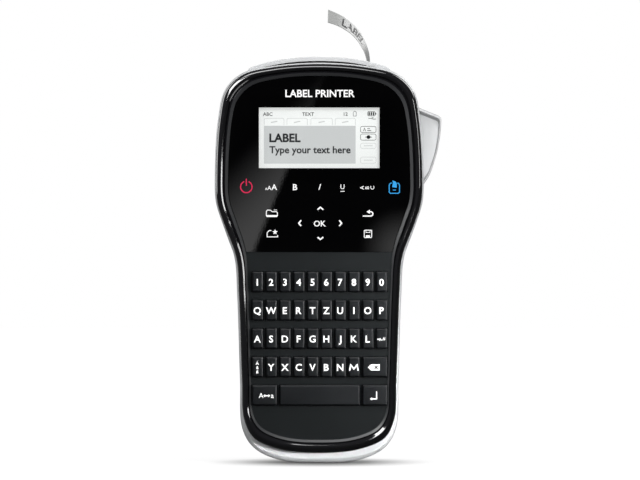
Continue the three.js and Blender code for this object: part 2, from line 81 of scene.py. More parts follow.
RING_STEPS = 4  # samples between two rings of a smooth surface

WALL = 2.2
GAP = 0.3
FACE = 0.4
FACE_BACK = 2.4
SEAM = 10
GRIP_BACK = 37
HEAD_FRONT = 18
HEAD_BACK_Y = 57.5
FLOOR = (31, 33)
FLOOR_TOP = 193
BEVEL_OUTER = (0.83, 1)  # shares between rim and well, on the grip and on the head
BEVEL_INNER = (1.02, 1.32)
WAIST = (96, 116)

KEY_WIDTH = 5.7
KEY_HEIGHT = 10.2
KEY_PITCH = 6.97
KEY_TOP = -0.9
KEY_BEVEL = 0.65
KEY_BEVEL_DEPTH = 0.55
KEY_TAPER = 0.12
KEY_PLAY = 0.25
FLANGE = (2.7, 3.5, 0.42)
ROW_TOP = 91.6
ROW_PITCH = 14.32
COLUMNS = 10
KEYBOARD_X = 0.2  # the keyboard's centre
LEGEND_HEIGHT = 3.3
INK = 0.03

PANEL_BACK = 1.1
PANEL_BOTTOM = 106.4
PANEL_CORNER = 5
WINDOW = (30.45, 149, 179.6)  # half width, bottom and top
PANE_GAP = 0.03
LCD_FRONT = 1.75
LCD_BACK = 4.4

TAPE_X = 25.2
TAPE_WIDTH = 12
TAPE_FRONT = 34.5
TAPE_THICKNESS = 0.3
TAPE_PATH = [
    (25.2, 0, 199), (25.15, 0, 203), (24.3, -0.1, 208), (22.7, -0.3, 212), (20.6, -0.6, 215.8),
    (17.8, -1.1, 219.2), (14.1, -1.8, 222.2), (10.1, -2.7, 224.6), (4.5, -4, 226.8),
]
TAPE_BOTTOM = 128
TAPE_TILT = (math.radians(3), math.radians(32))  # at the slot and at the free end
TAPE_STEPS = 48
TAPE_INK_LIFT = (0.04, -0.02)  # how far the lettering's front and back are from the tape's face

LEVER_PIVOT = (47.5, 140)
LEVER_DEPTH = (22.3, 39.7)
LEVER_EYE = 3.2
LEVER_PIN = 1.6
LEVER_WINDOW = ((37.4, 70), (135.6, 184))  # in X and Z
LEVER_BRACKET = 44  # the back of the bracket that holds the pin

CASSETTE_DOOR = {"half": 36.5, "front": 24, "bottom": 114.2, "hinge": (56.4, 115)}
BATTERY_DOOR = {"half": 25.5, "bottom": 31, "top": 84, "hinge": (35.9, 31.8), "corner": 4}
DOOR_GAP = 0.8
PAD = {"z": 21.5, "width": 36, "height": 9, "rise": 0.6}
PLATEN = (29.7, 160, 1.5)
SCREW = {"x": 21, "z": 16, "well": 2.6, "head": 2.1}
SCREW_CROSS = (1.3, 0.25)  # half length and half width of a slot

# ---------------------------------------------------------------- outlines


def spline(p0, p1, p2, p3, steps):
    """Points from p1 up to p2 on the centripetal curve through the four points."""
    d0, d1, d2 = (
        max(float(np.linalg.norm(b - a)), 1e-9) ** 0.5 for a, b in ((p0, p1), (p1, p2), (p2, p3))
    )
    t1 = ((p1 - p0) / d0 - (p2 - p0) / (d0 + d1) + (p2 - p1) / d1) * d1
    t2 = ((p2 - p1) / d1 - (p3 - p1) / (d1 + d2) + (p3 - p2) / d2) * d1
    shares = [k / steps for k in range(steps)]
    return [
        p1 + t1 * t + (3 * (p2 - p1) - 2 * t1 - t2) * t**2 + (2 * (p1 - p2) + t1 + t2) * t**3
        for t in shares
    ]


def outline(half):
    """The smooth closed curve through a right half and its mirror image."""
    left = [(-x, z) for x, z in reversed(half[1:-1])]
    p = np.array(list(half) + left, float)
    count = len(p)
    points = []
    for i in range(count):
        points += spline(p[i - 1], p[i], p[(i + 1) % count], p[(i + 2) % count], OUTLINE_STEPS)
    return np.array(points)


def open_curve(points, steps):
    p = [np.array(q, float) for q in points]
    p = [2 * p[0] - p[1], *p, 2 * p[-1] - p[-2]]
    curve = []
    for i in range(1, len(p) - 2):
        curve += spline(p[i - 1], p[i], p[i + 1], p[i + 2], steps)
    return [*curve, p[-2]]


def smoothstep(value, low, high):
    t = np.clip((value - low) / (high - low), 0, 1)
    return t * t * (3 - 2 * t)


def blend(a, b, share):
    return a + (b - a) * share


def inset(loop, distance):
    along = np.roll(loop, -1, 0) - np.roll(loop, 1, 0)
    along /= np.linalg.norm(along, axis=1)[:, None]
    return loop + np.stack([-along[:, 1], along[:, 0]], 1) * distance


rim = outline(RIM)
shell = outline(SHELL)
well = outline(WELL)
back = outline(BACK)
head_wide = outline(HEAD_WIDE)
head_back = outline(HEAD_BACK)


def bevel_outline(shares):
    share = shares[0] + (shares[1] - shares[0]) * smoothstep(rim[:, 1], *WAIST)
    return rim + (well - rim) * share[:, None]


def ring(loop, y):
    return np.stack([loop[:, 0], np.full(len(loop), float(y)), loop[:, 1]], 1)


def smooth_rings(rings, steps=RING_STEPS):
    """The rings, with more between them on a smooth surface."""
    p = [2 * rings[0] - rings[1], *rings, 2 * rings[-1] - rings[-2]]
    out = []
    for i in range(1, len(p) - 2):
        out += spline(p[i - 1], p[i], p[i + 1], p[i + 2], steps)
    return [*out, rings[-1]]


def rounded_rectangle(x0, x1, z0, z1, radius, steps=6):
    corners = [(x1 - radius, z0 + radius, -90), (x1 - radius, z1 - radius, 0),
               (x0 + radius, z1 - radius, 90), (x0 + radius, z0 + radius, 180)]
    points = []
    for cx, cz, start in corners:
        for k in range(steps + 1):
            a = math.radians(start + 90 * k / steps)
            points.append((cx + radius * math.cos(a), cz + radius * math.sin(a)))
    return np.array(points)


def circle(x, z, radius, steps):
    return np.array([
        (x + radius * math.cos(2 * math.pi * k / steps), z + radius * math.sin(2 * math.pi * k / steps))
        for k in range(steps)
    ])


# ---------------------------------------------------------------- solids


def new_object(name, verts, faces):
    mesh = bpy.data.meshes.new(name)
    mesh.from_pydata([tuple(map(float, v)) for v in verts], [], faces)
    obj = bpy.data.objects.new(name, mesh)
    bpy.context.scene.collection.objects.link(obj)
    return obj


def face_out(obj):
    work = bmesh.new()
    work.from_mesh(obj.data)
    bmesh.ops.recalc_face_normals(work, faces=work.faces)
    work.to_mesh(obj.data)
    work.free()
    return obj


def loft(name, rings, tyre=False):
    """The solid through rings from front to back; a tyre's last ring joins its first."""
    count = len(rings[0])
    faces = []
    for r in range(len(rings) if tyre else len(rings) - 1):
        a, b = r * count, (r + 1) % len(rings) * count
        faces += [(a + i, b + i, b + (i + 1) % count, a + (i + 1) % count) for i in range(count)]
    if not tyre:
        last = (len(rings) - 1) * count
        faces += [tuple(range(count)), tuple(reversed(range(last, last + count)))]
    return face_out(new_object(name, np.concatenate(rings), faces))


def prism(name, loop, depth):
    loop = np.array(loop, float)
    return loft(name, [ring(loop, depth[0]), ring(loop, depth[1])])


def block(name, xs, ys, zs):
    return prism(name, [(xs[0], zs[0]), (xs[1], zs[0]), (xs[1], zs[1]), (xs[0], zs[1])], ys)


def rod(name, radius, depth, x, z, steps=40):
    return prism(name, circle(x, z, radius, steps), depth)


def cross_rod(name, radius, xs, y, z, steps=20):
    obj = prism(name, circle(0, 0, radius, steps), xs)
    for v in obj.data.vertices:
        v.co = Vector((v.co.y, y + v.co.x, z + v.co.z))
    return face_out(obj)


def bake(obj):
    graph = bpy.context.evaluated_depsgraph_get()
    mesh = bpy.data.meshes.new_from_object(obj.evaluated_get(graph))
    obj.modifiers.clear()
    obj.data = mesh
    return obj


def combine(target, *tools, how="DIFFERENCE"):
    for tool in tools:
        step = target.modifiers.new("combine", "BOOLEAN")
        step.operation = how
        step.solver = "EXACT"
        step.object = tool
        bake(target)
        bpy.data.objects.remove(tool)
    return target


def round_edges(obj, width, angle=35, segments=2):
    step = obj.modifiers.new("round", "BEVEL")
    step.width = width
    step.segments = segments
    step.limit_method = "ANGLE"
    step.angle_limit = math.radians(angle)
    step.use_clamp_overlap = True
    return bake(obj)


def join(target, *others):
    """Adds other objects' meshes, with their materials, to the first one's."""
    work = bmesh.new()
    work.from_mesh(target.data)
    for other in others:
        shift = len(target.data.materials)
        before = len(work.faces)
        work.from_mesh(other.data)
        work.faces.ensure_lookup_table()
        for i in range(before, len(work.faces)):
            work.faces[i].material_index += shift
        for material in other.data.materials:
            target.data.materials.append(material)
        bpy.data.objects.remove(other)
    work.to_mesh(target.data)
    work.free()
    return target


def paint(obj, *materials):
    for material in materials:
        obj.data.materials.append(material)
    return obj


def settle(obj, body, replaced=(), angle=32):
    """Moves a finished piece to its place in the row frame, on its body."""
    co = np.array([v.co for v in obj.data.vertices])
    co = co * MM + np.array([0, ORIGIN_Y, ORIGIN_Z])
    obj.data.vertices.foreach_set("co", co.astype(np.float32).ravel())
    obj.data.shade_smooth()
    obj.data.set_sharp_from_angle(angle=math.radians(angle))
    obj.data.update()
    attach(obj, body)
    if replaced:
        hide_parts(*replaced)
    return obj


# ---------------------------------------------------------------- flat drawings


def glyphs(word, bold, shear):
    """A word's letters as flat faces, one unit tall, with its left end at zero."""
    curve = bpy.data.curves.new("word", "FONT")
    curve.body = word
    curve.offset = bold
    curve.shear = shear
    curve.fill_mode = "FRONT"
    curve.resolution_u = 3
    holder = bpy.data.objects.new("word", curve)
    bpy.context.scene.collection.objects.link(holder)
    graph = bpy.context.evaluated_depsgraph_get()
    mesh = bpy.data.meshes.new_from_object(holder.evaluated_get(graph))
    work = bmesh.new()
    work.from_mesh(mesh)
    bmesh.ops.remove_doubles(work, verts=work.verts, dist=1e-5)
    verts = [(v.co.x, v.co.y) for v in work.verts]
    faces = [tuple(v.index for v in f.verts) for f in work.faces]
    work.free()
    bpy.data.objects.remove(holder)
    return np.array(verts), faces


CAPITAL = glyphs("H", 0, 0)[0][:, 1].max()


class Drawing:
    """Flat shapes in X and Z that become one thin solid."""

    def __init__(self):
        self.verts, self.faces = [], []

    def add(self, verts, faces):
        start = len(self.verts)
        self.verts += [tuple(v) for v in verts]
        self.faces += [tuple(start + i for i in f) for f in faces]
        return self

    def plate(self, points):
        return self.add(points, [tuple(range(len(points)))])

    def line(self, points, width, closed=False):
        p = np.array(points, float)
        ahead, behind = np.roll(p, -1, 0) - p, p - np.roll(p, 1, 0)
        if not closed:
            ahead[-1], behind[0] = behind[-1], ahead[0]
        ahead /= np.linalg.norm(ahead, axis=1)[:, None]
        behind /= np.linalg.norm(behind, axis=1)[:, None]
        mitre = ahead + behind
        mitre /= np.linalg.norm(mitre, axis=1)[:, None]
        side = np.stack([-mitre[:, 1], mitre[:, 0]], 1)
        reach = width / 2 / np.clip((mitre * ahead).sum(1), 0.35, 1)
        left, right = p + side * reach[:, None], p - side * reach[:, None]
        count = len(p)
        pairs = range(count if closed else count - 1)
        faces = [(i + count, (i + 1) % count + count, (i + 1) % count, i) for i in pairs]
        return self.add([*left, *right], faces)

    def word(self, text, x, z, height, bold=0.0, shear=0.0, align="centre", turn=0.0):
        """Writes text with its capitals `height` tall, centred on z."""
        verts, faces = glyphs(text, bold, shear)
        low, high = verts[:, 0].min(), verts[:, 0].max()
        verts = verts - np.array([low if align == "left" else (low + high) / 2, CAPITAL / 2])
        verts = verts * height / CAPITAL
        c, s = math.cos(turn), math.sin(turn)
        verts = verts @ np.array([[c, s], [-s, c]])
        return self.add(verts + np.array([x, z]), faces)

    def solid(self, name, y, thickness, material):
        """The drawing as a solid whose front is at y."""
        count = len(self.verts)
        verts = [(x, y, z) for x, z in self.verts] + [(x, y + thickness, z) for x, z in self.verts]
        edges = {(f[i], f[(i + 1) % len(f)]) for f in self.faces for i in range(len(f))}
        faces = [*self.faces, *(tuple(i + count for i in reversed(f)) for f in self.faces)]
        faces += [(b, a, a + count, b + count) for a, b in edges if (b, a) not in edges]
        return paint(face_out(new_object(name, verts, faces)), material)


# ---------------------------------------------------------------- finishes


class Tree:
    """The shader nodes of a material or a world."""

    def __init__(self, owner):
        owner.use_nodes = True
        self.nodes, self.links = owner.node_tree.nodes, owner.node_tree.links

    def fill(self, node, inputs):
        """Gives a node's inputs their values, or links them to the sockets given."""
        for key, value in inputs.items():
            socket = node.inputs[key]
            if hasattr(value, "links"):
                self.links.new(value, socket)
            else:
                socket.default_value = (*value, 1) if socket.type == "RGBA" else value

    def add(self, kind, inputs=None, **settings):
        node = self.nodes.new(f"ShaderNode{kind}")
        for key, value in settings.items():
            setattr(node, key, value)
        self.fill(node, inputs or {})
        return node

    def math(self, operation, *values, clamp=False):
        node = self.add("Math", dict(enumerate(values)), operation=operation, use_clamp=clamp)
        return node.outputs["Value"]

    def remap(self, value, low, high, start, end, curve="LINEAR"):
        limits = {"From Min": low, "From Max": high, "To Min": start, "To Max": end}
        node = self.add("MapRange", {**limits, "Value": value}, interpolation_type=curve)
        return node.outputs["Result"]

    def mix(self, factor, a, b, kind="RGBA"):
        return self.add("Mix", {"Factor": factor, "A": a, "B": b}, data_type=kind).outputs["Result"]

    def noise(self, size, detail):
        place = self.add("TexCoord").outputs["Object"]
        inputs = {"Scale": 1 / (size * MM), "Detail": detail, "Vector": place}
        return self.add("TexNoise", inputs).outputs["Fac"]

    def either(self, share, a, b):
        """A mix of two shaders, b where the share is 1."""
        return self.add("MixShader", {"Fac": share, 1: a, 2: b}).outputs["Shader"]

    def output(self, shader):
        self.links.new(shader, self.nodes["Material Output"].inputs["Surface"])


WORN_FROM, WORN_TO = 0.53, 0.66  # Pointiness where wear starts and where it is full
COAT_ROUGHNESS = 0.04
SMUDGE = 9  # size in mm of the smudges on clear plastic
CLEAR_IOR = 1.45


def surface(name, color, roughness, metallic=0.0, grain=0.25, bump=0.06, tint=0.06, spread=0.05,
            wear=0.25, coat=0.0, specular=0.5, patch=14.0):
    """Plastic, metal or rubber: fine grain, slow changes of tint and roughness, worn edges."""
    material = bpy.data.materials.new(name)
    tree = Tree(material)
    broad, fine = tree.noise(patch, 3), tree.noise(grain, 2)
    darker = [c * (1 - tint) for c in color]
    lighter = [min(1, c * (1 + tint)) for c in color]
    worn = [min(1, c * 1.25 + 0.02) for c in color]
    pointed = tree.add("NewGeometry").outputs["Pointiness"]
    edge = tree.remap(pointed, WORN_FROM, WORN_TO, 0, wear)
    relief = tree.add("Bump", {"Strength": bump, "Distance": grain * MM, "Height": fine})
    tree.fill(tree.nodes["Principled BSDF"], {
        "Base Color": tree.mix(edge, tree.mix(broad, darker, lighter), worn),
        "Roughness": tree.remap(broad, 0, 1, roughness - spread, roughness + spread),
        "Normal": relief.outputs["Normal"], "Metallic": metallic, "Specular IOR Level": specular,
        "Coat Weight": coat, "Coat Roughness": COAT_ROUGHNESS,
    })
    return material


def clear_pane(name):
    """Clear plastic: mostly seen through, with a reflection that smudges make uneven."""
    material = bpy.data.materials.new(name)
    tree = Tree(material)
    tree.nodes.remove(tree.nodes["Principled BSDF"])
    rough = tree.remap(tree.noise(SMUDGE, 2), 0, 1, 0.01, 0.05)
    through = tree.add("BsdfTransparent", {"Color": (0.97, 0.98, 0.98)})
    gloss = tree.add("BsdfGlossy", {"Roughness": rough})
    fresnel = tree.add("Fresnel", {"IOR": CLEAR_IOR}).outputs["Fac"]
    behind = tree.add("NewGeometry").outputs["Backfacing"]
    front_only = tree.math("MULTIPLY_ADD", behind, -1, fresnel, clamp=True)
    tree.output(tree.either(front_only, through.outputs["BSDF"], gloss.outputs["BSDF"]))
    return material


def glow(material, color, strength):
    shader = material.node_tree.nodes["Principled BSDF"]
    shader.inputs["Emission Color"].default_value = (*color, 1)
    shader.inputs["Emission Strength"].default_value = strength
    return material


SILVER = surface("silver_paint", (0.66, 0.67, 0.68), 0.36, metallic=0.12, grain=0.2, bump=0.05)
LIGHT_GREY = surface("light_grey_plastic", (0.6, 0.605, 0.61), 0.42, bump=0.08)
GLOSS_BLACK = surface("gloss_black", (0.003, 0.003, 0.0035), 0.07, grain=0.6, bump=0.01, tint=0.2,
                      spread=0.02, wear=0.1, coat=0.3)
BEVEL_GREY = surface("bevel_grey", (0.013, 0.0135, 0.0145), 0.4, grain=0.3, specular=0.25)
MATTE_FACE = surface("matte_face", (0.005, 0.0062, 0.0067), 0.48, grain=0.4, bump=0.12, tint=0.12,
                     wear=0, specular=0.25)
KEY_BLACK = surface("key_charcoal", (0.006, 0.0068, 0.0078), 0.42, grain=0.5, bump=0.22, tint=0.15,
                    specular=0.3)
FILM = surface("gloss_film", (0.001, 0.001, 0.0012), 0.012, grain=0.8, bump=0.002, tint=0.2,
               spread=0.006, wear=0.05)
PANE = clear_pane("clear_pane")
# The three inks get a glow of their own: painted light that makes the print read brighter than its lit
# colour.
WHITE_INK = glow(surface("white_ink", (0.6, 0.6, 0.6), 0.45, tint=0.02), (1, 1, 1), 0.5)
PINK_INK = glow(surface("pink_ink", (0.5, 0.012, 0.06), 0.45, tint=0.05), (0.8, 0.02, 0.10), 0.25)
BLUE_INK = glow(surface("blue_ink", (0.02, 0.22, 0.5), 0.45, tint=0.05), (0.03, 0.35, 0.75), 0.5)
LCD_BORDER = glow(surface("lcd_border", (0.50, 0.50, 0.495), 0.4, tint=0.015), (1, 1, 0.98), 0.56)
LCD_FIELD = glow(surface("lcd_field", (0.30, 0.305, 0.303), 0.4, tint=0.015), (1, 1, 1), 0.37)
LCD_INK = surface("lcd_ink", (0.012, 0.014, 0.016), 0.5, tint=0.1)
LCD_FAINT = glow(surface("lcd_faint", (0.34, 0.34, 0.335), 0.5, tint=0.05), (1, 1, 1), 0.28)
LEVER_SILVER = surface("lever_silver", (0.93, 0.94, 0.95), 0.3, metallic=0.1, grain=0.2, bump=0.04)
# a darker copy of the lever's silver: painted shade for its slopes
LEVER_SHADED_SLOPE = surface("lever_shaded_slope", (0.5, 0.505, 0.51), 0.35, metallic=0.1, grain=0.2, bump=0.04)
TAPE_WHITE = surface("tape_film", (0.30, 0.305, 0.30), 0.3, grain=0.5, bump=0.03, tint=0.03)
TAPE_INK = surface("tape_ink", (0.015, 0.015, 0.016), 0.45, tint=0.1)
STEEL = surface("steel", (0.5, 0.5, 0.51), 0.3, metallic=1.0, grain=0.3, bump=0.05, wear=0.4)
BRASS = surface("brass", (0.62, 0.42, 0.16), 0.3, metallic=1.0, grain=0.3, bump=0.05, wear=0.4)
RUBBER = surface("rubber", (0.02, 0.02, 0.021), 0.75, grain=0.35, bump=0.2, tint=0.15)
CERAMIC = surface("ceramic", (0.62, 0.58, 0.5), 0.35, grain=0.3, bump=0.08)
SILICONE = surface("silicone", (0.11, 0.115, 0.125), 0.7, grain=0.4, bump=0.1)
BOARD = surface("board_green", (0.012, 0.13, 0.045), 0.38, grain=0.9, bump=0.12, tint=0.2)
WRAP = surface("battery_wrap", (0.03, 0.033, 0.042), 0.4, grain=0.5, bump=0.08, tint=0.2)
CASSETTE = surface("cassette_plastic", (0.05, 0.053, 0.06), 0.42, grain=0.35, bump=0.14, tint=0.1)

# ---------------------------------------------------------------- front shell

bevel_inner = bevel_outline(BEVEL_INNER)
bevel_outer = bevel_outline(BEVEL_OUTER)


def front_rim():
    """The rounded gloss rim with its groove, and the grey bevel inside it."""
    inner = [ring(bevel_inner, FACE), ring(bevel_outer, -0.4), ring(blend(rim, well, 0.8), 0.5)]
    rounded = smooth_rings([
        ring(blend(rim, well, 0.7), -0.7), ring(blend(rim, well, 0.45), -1.4),
        ring(blend(rim, well, 0.2), -0.6), ring(blend(rim, well, 0.05), 1.6), ring(rim, 5),
    ], 6)
    hollow = inset(rim, WALL)
    rear = [ring(rim, SEAM), ring(hollow, SEAM), ring(hollow, FACE_BACK), ring(bevel_inner, FACE_BACK)]
    obj = paint(loft("front_rim", [*inner, *rounded, *rear], tyre=True), GLOSS_BLACK, BEVEL_GREY)
    for i in range(len(rim)):
        obj.data.polygons[i].material_index = 1
    return obj


def panel_solid(name, front, rear, margin):
    face = inset(bevel_inner, margin)
    bottom = PANEL_BOTTOM + margin
    region = rounded_rectangle(-60, 60, bottom, bottom + 200, PANEL_CORNER, 10)
    obj = loft(name, [ring(face, front), ring(face, rear)])
    return combine(obj, prism("region", region, (-5, 5)), how="INTERSECT")


def key_places():
    """(name, centre x, centre z, width) of each key."""
    rows = [
        "1 2 3 4 5 6 7 8 9 0", "q w e r t z u i o p", "a s d f g h j k l punctuation",
        "accents y x c v b n m backspace", "shift space enter",
    ]
    columns = {"backspace": 2, "shift": 2, "space": 6, "enter": 2}
    places = []
    for row, names in enumerate(rows):
        column = 0
        for name in names.split():
            span = columns.get(name, 1)
            middle = column + (span - 1) / 2
            column += span
            x = KEYBOARD_X + (middle - (COLUMNS - 1) / 2) * KEY_PITCH
            places.append((name, x, ROW_TOP - row * ROW_PITCH, (span - 1) * KEY_PITCH + KEY_WIDTH))
    return places


def face_plate():
    """The matte face round the keys, with the recess and window of the display panel."""
    edge = inset(bevel_inner, 0.02)
    plate = loft("face_plate", [ring(edge, FACE), ring(edge, FACE_BACK)])
    half, bottom, top = WINDOW
    combine(plate, panel_solid("recess", -2, PANEL_BACK + GAP, 0),
            block("window", (-half - 1, half + 1), (-1, 4), (bottom - 1, top + 1)))
    holes = Drawing()
    for _, x, z, width in key_places():
        w, h = width / 2 + KEY_PLAY, KEY_HEIGHT / 2 + KEY_PLAY
        holes.plate(rounded_rectangle(x - w, x + w, z - h, z + h, 0.5, 3))
    combine(plate, holes.solid("holes", -1, 6, MATTE_FACE))
    plate.data.materials.clear()
    return paint(plate, MATTE_FACE)


gloss_rim = settle(front_rim(), "case", ["front_case"])
matte_plate = settle(face_plate(), "case", ["front_case"])

# ---------------------------------------------------------------- display panel

film = panel_solid("panel_film", PANEL_FRONT, PANEL_BACK, GAP)
half, bottom, top = WINDOW
combine(film, block("window", (-half, half), (-1, 4), (bottom, top)))
settle(paint(film, FILM), "case", ["display_panel"])
pane = block("panel_pane", (-half + PANE_GAP, half - PANE_GAP), (PANEL_FRONT + 0.01, PANEL_BACK),
             (bottom + PANE_GAP, top - PANE_GAP))
settle(paint(pane, PANE), "case", ["display_panel"])

glass = block("lcd_glass", (-half - 3, half + 3), (LCD_FRONT, LCD_BACK), (bottom - 1, top + 1))
bezel = block("lcd_frame", (-half - 5, half + 5), (LCD_BACK, LCD_BACK + 2), (bottom - 6, top + 5))
settle(paint(round_edges(glass, 0.15), LCD_BORDER), "case", ["lcd_module"])
settle(paint(round_edges(bezel, 0.3), STEEL), "case", ["lcd_module"])


def lcd_layer(name, drawing, material, layer):
    """One printed or lit layer of the display, layer 1 lying on the glass."""
    obj = drawing.solid(name, LCD_FRONT - layer * 0.05, 0.04, material)
    return settle(obj, "case")


def box_line(drawing, x0, x1, z0, z1, width, corner=0.5):
    return drawing.line(rounded_rectangle(x0, x1, z0, z1, corner, 3), width, closed=True)


field = Drawing().plate([(-27.9, 151.3), (18.4, 151.3), (18.4, 170.4), (-27.9, 170.4)])
lcd_layer("lcd_message_field", field, LCD_FIELD, 1)
message = Drawing()
message.word("LABEL", -25.2, 164.3, 4.0, bold=0.034, align="left")
message.word("Type your text here", -25.2, 158.3, 3.4, bold=0.022, align="left")
for text, x in (("ABC", -26), ("TEXT", -5.6), ("12", 13.4)):
    message.word(text, x, 176.3, 1.7, bold=0.01)
message.line([(17.2, 175.3), (18.7, 175.3), (18.7, 177.4), (17.9, 177.9), (17.2, 177.2)], 0.2, closed=True)
for i in range(3):
    x = 24.9 + i * 1.1
    message.plate([(x, 175.7), (x + 0.7, 175.7), (x + 0.7, 177.3), (x, 177.3)])
box_line(message, 24.5, 28.3, 175.4, 177.6, 0.22)
message.plate([(28.4, 176.1), (28.8, 176.1), (28.8, 176.9), (28.4, 176.9)])
message.line([(24.8, 174.2), (26.4, 174.2), (27.2, 173.8), (28.6, 173.8)], 0.25)
message.line([(26.4, 174.2), (27.4, 174.7)], 0.25)
for z in (168.55, 164.7):
    box_line(message, 20.9, 28.7, z - 1.55, z + 1.55, 0.22, 0.8)
message.line([(22.3, 167.7), (22.9, 169.2), (23.5, 167.7)], 0.25)
message.line([(24.3, 168), (26.3, 168)], 0.3)
message.line([(24.3, 169), (25.6, 169)], 0.3)
message.plate(circle(24.9, 164.7, 0.95, 14))
message.line([(23.2, 164.7), (26.6, 164.7)], 0.3)
lcd_layer("lcd_message", message, LCD_INK, 2)
faint = Drawing()
for x0, x1 in ((-27.8, -17.8), (-16.3, -6), (-4.2, 6.7), (8.1, 18.3)):
    faint.line([(x0, 170.7), (x0, 173.7), (x0 + 0.6, 174.2),
                (x1 - 0.6, 174.2), (x1, 173.7), (x1, 170.7)], 0.18)
    faint.line([((x0 + x1) / 2 - 1.6, 172.1), ((x0 + x1) / 2 + 1.6, 172.6)], 0.45)
for z0, z1 in ((159, 161.6), (151.5, 154.6)):
    box_line(faint, 20.9, 28.7, z0, z1, 0.18, 0.8)
    faint.line([(22.6, (z0 + z1) / 2), (27, (z0 + z1) / 2)], 0.3)
lcd_layer("lcd_faint_signs", faint, LCD_FAINT, 1)

# Printed signs on the film. Each sits a hair in front of it.


def print_on_film(name, drawing, material):
    settle(drawing.solid(name, PANEL_FRONT - INK, INK * 2, material), "case")


def arc(x, z, radius, start, end, steps):
    angles = [math.radians(start + (end - start) * k / steps) for k in range(steps + 1)]
    return [(x + radius * math.cos(a), z + radius * math.sin(a)) for a in angles]


power = Drawing()
power.line(arc(-36.8, 139.5, 2.9, 112, 428, 40), 0.6)
power.line([(-36.8, 143.6), (-36.8, 140.1)], 0.6)
print_on_film("sign_power", power, PINK_INK)



def print_sign(*points):
    """The points of the print sign, given from its centre."""
    return [(37.95 + x, 139.2 + z) for x, z in points]


printer = Drawing()
printer.line(print_sign((-1.3, 2.3), (-2.1, 2.1), (-2.6, 1.3), (-2.6, -2.3), (-2, -2.9),
                        (2, -2.9), (2.6, -2.3), (2.6, 1.3), (2.1, 2.1), (1.5, 2.3)), 0.45)
printer.line(print_sign((-0.8, -1.25), (0.8, -1.25)), 0.4)
printer.plate(print_sign((-1.1, 0.2), (1.2, -0.1), (1.2, 2.2), (0.5, 3.1), (-1, 3.5), (-0.7, 2.4)))
print_on_film("sign_print", printer, BLUE_INK)

signs = Drawing()
signs.word("A", -26.8, 138.55, 1.15, bold=0.01)
signs.word("A", -25.2, 139.0, 2.0, bold=0.01)
signs.word("A", -22.7, 139.4, 2.8, bold=0.012)
signs.word("B", -12.2, 139.4, 2.9, bold=0.02)
signs.word("I", 0.3, 139.5, 2.9, bold=0.004, shear=0.3)
signs.word("U", 11.75, 139.6, 2.3, bold=0.004)
signs.line([(10.7, 137.3), (12.8, 137.3)], 0.33)
for letter, x in (("A", 21.6), ("B", 24.2), ("C", 26.8)):
    signs.word(letter, x, 139.1, 1.9, bold=0.008, turn=math.pi / 2)
signs.word("OK", 0.3, 121, 2.8, bold=0.014)
for x, z, turn in ((0.6, 128.6, 0), (-9.7, 121.2, 90), (10.7, 121.2, -90), (0.6, 113.6, 180)):
    c, s = math.cos(math.radians(turn)), math.sin(math.radians(turn))
    chevron = [(-1.45, -0.55), (0, 0.6), (1.45, -0.55)]
    signs.line([(x + u * c - v * s, z + u * s + v * c) for u, v in chevron], 0.7)
# menu folder
signs.line([(-26.7, 124.7), (-26.7, 127.2), (-26.2, 127.8), (-24.6, 127.8), (-23.8, 127), (-21.6, 127),
            (-21.1, 126.5), (-21.1, 124.7)], 0.4)
signs.line([(-23, 127.85), (-21.3, 127.85)], 0.25)
signs.line([(-26.6, 124.8), (-21.2, 124.8)], 0.95)
# label with a star
signs.line([(-24.2, 117.5), (-25.2, 117.5), (-26.3, 116.4), (-26.3, 114.3),
            (-21, 114.3), (-21, 115.2)], 0.42)
radii = (1.45, 0.62) * 5
signs.plate([(-22.3 + radius * math.sin(math.pi * k / 5), 116.7 + radius * math.cos(math.pi * k / 5))
             for k, radius in enumerate(radii)])
# back arrow
signs.line([(22, 124.8), (26.1, 124.8), *arc(26, 125.9, 1.1, -75, 75, 8), (25.2, 127), (24.6, 127)], 0.6)
signs.plate([(23.9, 126.9), (25.6, 125.9), (25.6, 128)])
# floppy disc
box_line(signs, 22.75, 26.5, 113.95, 117.65, 0.4, 0.35)
signs.plate([(23.6, 114.1), (25.65, 114.1), (25.65, 115.1), (23.6, 115.1)])
signs.line([(23.6, 117.5), (23.6, 116.5), (25.65, 116.5), (25.65, 117.5)], 0.3)
print_on_film("signs_white", signs, WHITE_INK)

title = Drawing().word("LABEL PRINTER", 0.4, 186.7, 3.5, bold=0.018)
print_on_film("title", title, WHITE_INK)

# ---------------------------------------------------------------- keys


